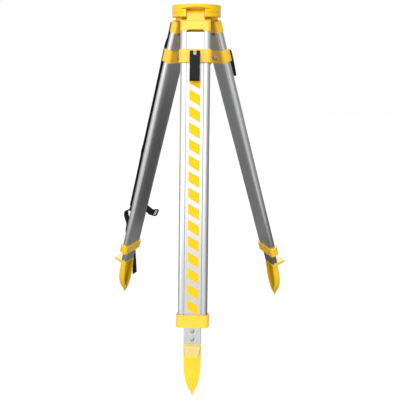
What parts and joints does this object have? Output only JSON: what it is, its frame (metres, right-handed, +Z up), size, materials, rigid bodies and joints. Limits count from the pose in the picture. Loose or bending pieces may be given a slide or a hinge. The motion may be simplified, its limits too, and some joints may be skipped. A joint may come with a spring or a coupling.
{
  "type": "construction tripod",
  "caption": "Telescoping tripod for a levelling instrument, with a flat head, cam-lever leg clamps, pointed feet with pedals, and carry and closing straps.",
  "frame": {"origin": "centre of the head's flat top face", "axes": "+Z up along the head's axis; leg 1 stands out along -Y, legs 2 and 3 follow clockwise from above"},
  "size_m": [0.6848, 0.6166, 1.0766],
  "materials": {
    "yellow_head": "smooth enamel",
    "yellow_paint": "powder coat",
    "aluminium": "anodised satin",
    "zinc": "zinc plated",
    "black_plastic": "moulded",
    "nylon": "natural",
    "webbing": "woven webbing"
  },
  "bodies": {
    "head": {"head_casting": "yellow_head", "hinge_bolts": "zinc", "hinge_nuts": "zinc", "friction_washers": "nylon", "arm_screw": "zinc"},
    "upper_leg_1": {"leg_cap_1": "yellow_paint", "side_rails_1": "aluminium", "cap_rivets_1": "zinc", "lower_guide_1": "yellow_paint", "guide_rivets_1": "zinc"},
    "lower_leg_1": {"inner_leg_1": "aluminium", "clamp_collar_1": "yellow_paint", "clamp_plate_1": "yellow_paint", "clamp_bolt_1": "zinc", "clamp_nut_1": "zinc", "lever_pin_1": "zinc", "foot_1": "yellow_paint", "foot_rivets_1": "zinc"},
    "lever_1": {"clamp_lever_1": "black_plastic"},
    "upper_leg_2": {"leg_cap_2": "yellow_paint", "side_rails_2": "aluminium", "cap_rivets_2": "zinc", "lower_guide_2": "yellow_paint", "guide_rivets_2": "zinc", "carry_strap": "webbing", "closing_strap": "webbing", "buckle_strap": "webbing", "strap_buckle": "black_plastic", "strap_rivets": "zinc"},
    "lower_leg_2": {"inner_leg_2": "aluminium", "clamp_collar_2": "yellow_paint", "clamp_plate_2": "yellow_paint", "clamp_bolt_2": "zinc", "clamp_nut_2": "zinc", "lever_pin_2": "zinc", "foot_2": "yellow_paint", "foot_rivets_2": "zinc"},
    "lever_2": {"clamp_lever_2": "black_plastic"},
    "upper_leg_3": {"leg_cap_3": "yellow_paint", "side_rails_3": "aluminium", "cap_rivets_3": "zinc", "lower_guide_3": "yellow_paint", "guide_rivets_3": "zinc"},
    "lower_leg_3": {"inner_leg_3": "aluminium", "clamp_collar_3": "yellow_paint", "clamp_plate_3": "yellow_paint", "clamp_bolt_3": "zinc", "clamp_nut_3": "zinc", "lever_pin_3": "zinc", "foot_3": "yellow_paint", "foot_rivets_3": "zinc"},
    "lever_3": {"clamp_lever_3": "black_plastic"},
    "centring_arm": {"centring_arm": "zinc"},
    "slot_bush": {"slot_bush": "zinc"},
    "screw_sleeve": {"screw_sleeve": "nylon"},
    "centring_screw": {"centring_screw": "zinc", "screw_knob": "black_plastic"}
  },
  "joints": [
    {"name": "leg_1_swing", "type": "hinge", "parent": "head", "child": "upper_leg_1", "pos_m": [0, -0.0433, -0.025], "axis": [-1, 0, 0], "range_deg": [-18, 17]},
    {"name": "leg_2_swing", "type": "hinge", "parent": "head", "child": "upper_leg_2", "pos_m": [-0.0375, 0.02165, -0.025], "axis": [0.5, 0.866, 0], "range_deg": [-18, 17]},
    {"name": "leg_3_swing", "type": "hinge", "parent": "head", "child": "upper_leg_3", "pos_m": [0.0375, 0.02165, -0.025], "axis": [0.5, -0.866, 0], "range_deg": [-18, 17]},
    {"name": "leg_1_slide", "type": "slide", "parent": "upper_leg_1", "child": "lower_leg_1", "axis": [0, -0.309, -0.9511], "range_m": [0, 0.52]},
    {"name": "leg_2_slide", "type": "slide", "parent": "upper_leg_2", "child": "lower_leg_2", "axis": [-0.2676, 0.1545, -0.9511], "range_m": [0, 0.52]},
    {"name": "leg_3_slide", "type": "slide", "parent": "upper_leg_3", "child": "lower_leg_3", "axis": [0.2676, 0.1545, -0.9511], "range_m": [0, 0.52]},
    {"name": "lever_1_turn", "type": "hinge", "parent": "lower_leg_1", "child": "lever_1", "pos_m": [0, -0.10529, -0.12841], "axis": [-1, 0, 0], "range_deg": [0, 120]},
    {"name": "lever_2_turn", "type": "hinge", "parent": "lower_leg_2", "child": "lever_2", "pos_m": [-0.09118, 0.05264, -0.12841], "axis": [0.5, 0.866, 0], "range_deg": [0, 120]},
    {"name": "lever_3_turn", "type": "hinge", "parent": "lower_leg_3", "child": "lever_3", "pos_m": [0.09118, 0.05264, -0.12841], "axis": [0.5, -0.866, 0], "range_deg": [0, 120]},
    {"name": "arm_swivel", "type": "hinge", "parent": "head", "child": "centring_arm", "pos_m": [0, 0.046, -0.012], "axis": [0, 0, 1], "range_deg": [-10, 10]},
    {"name": "bush_slide", "type": "slide", "parent": "centring_arm", "child": "slot_bush", "axis": [0, 1, 0], "range_m": [-0.006, 0.006]},
    {"name": "screw_lift", "type": "slide", "parent": "slot_bush", "child": "screw_sleeve", "axis": [0, 0, 1], "range_m": [0, 0.014]},
    {"name": "screw_turn", "type": "hinge", "parent": "screw_sleeve", "child": "centring_screw", "pos_m": [0, 0, -0.03], "axis": [0, 0, 1], "continuous": true}
  ]
}
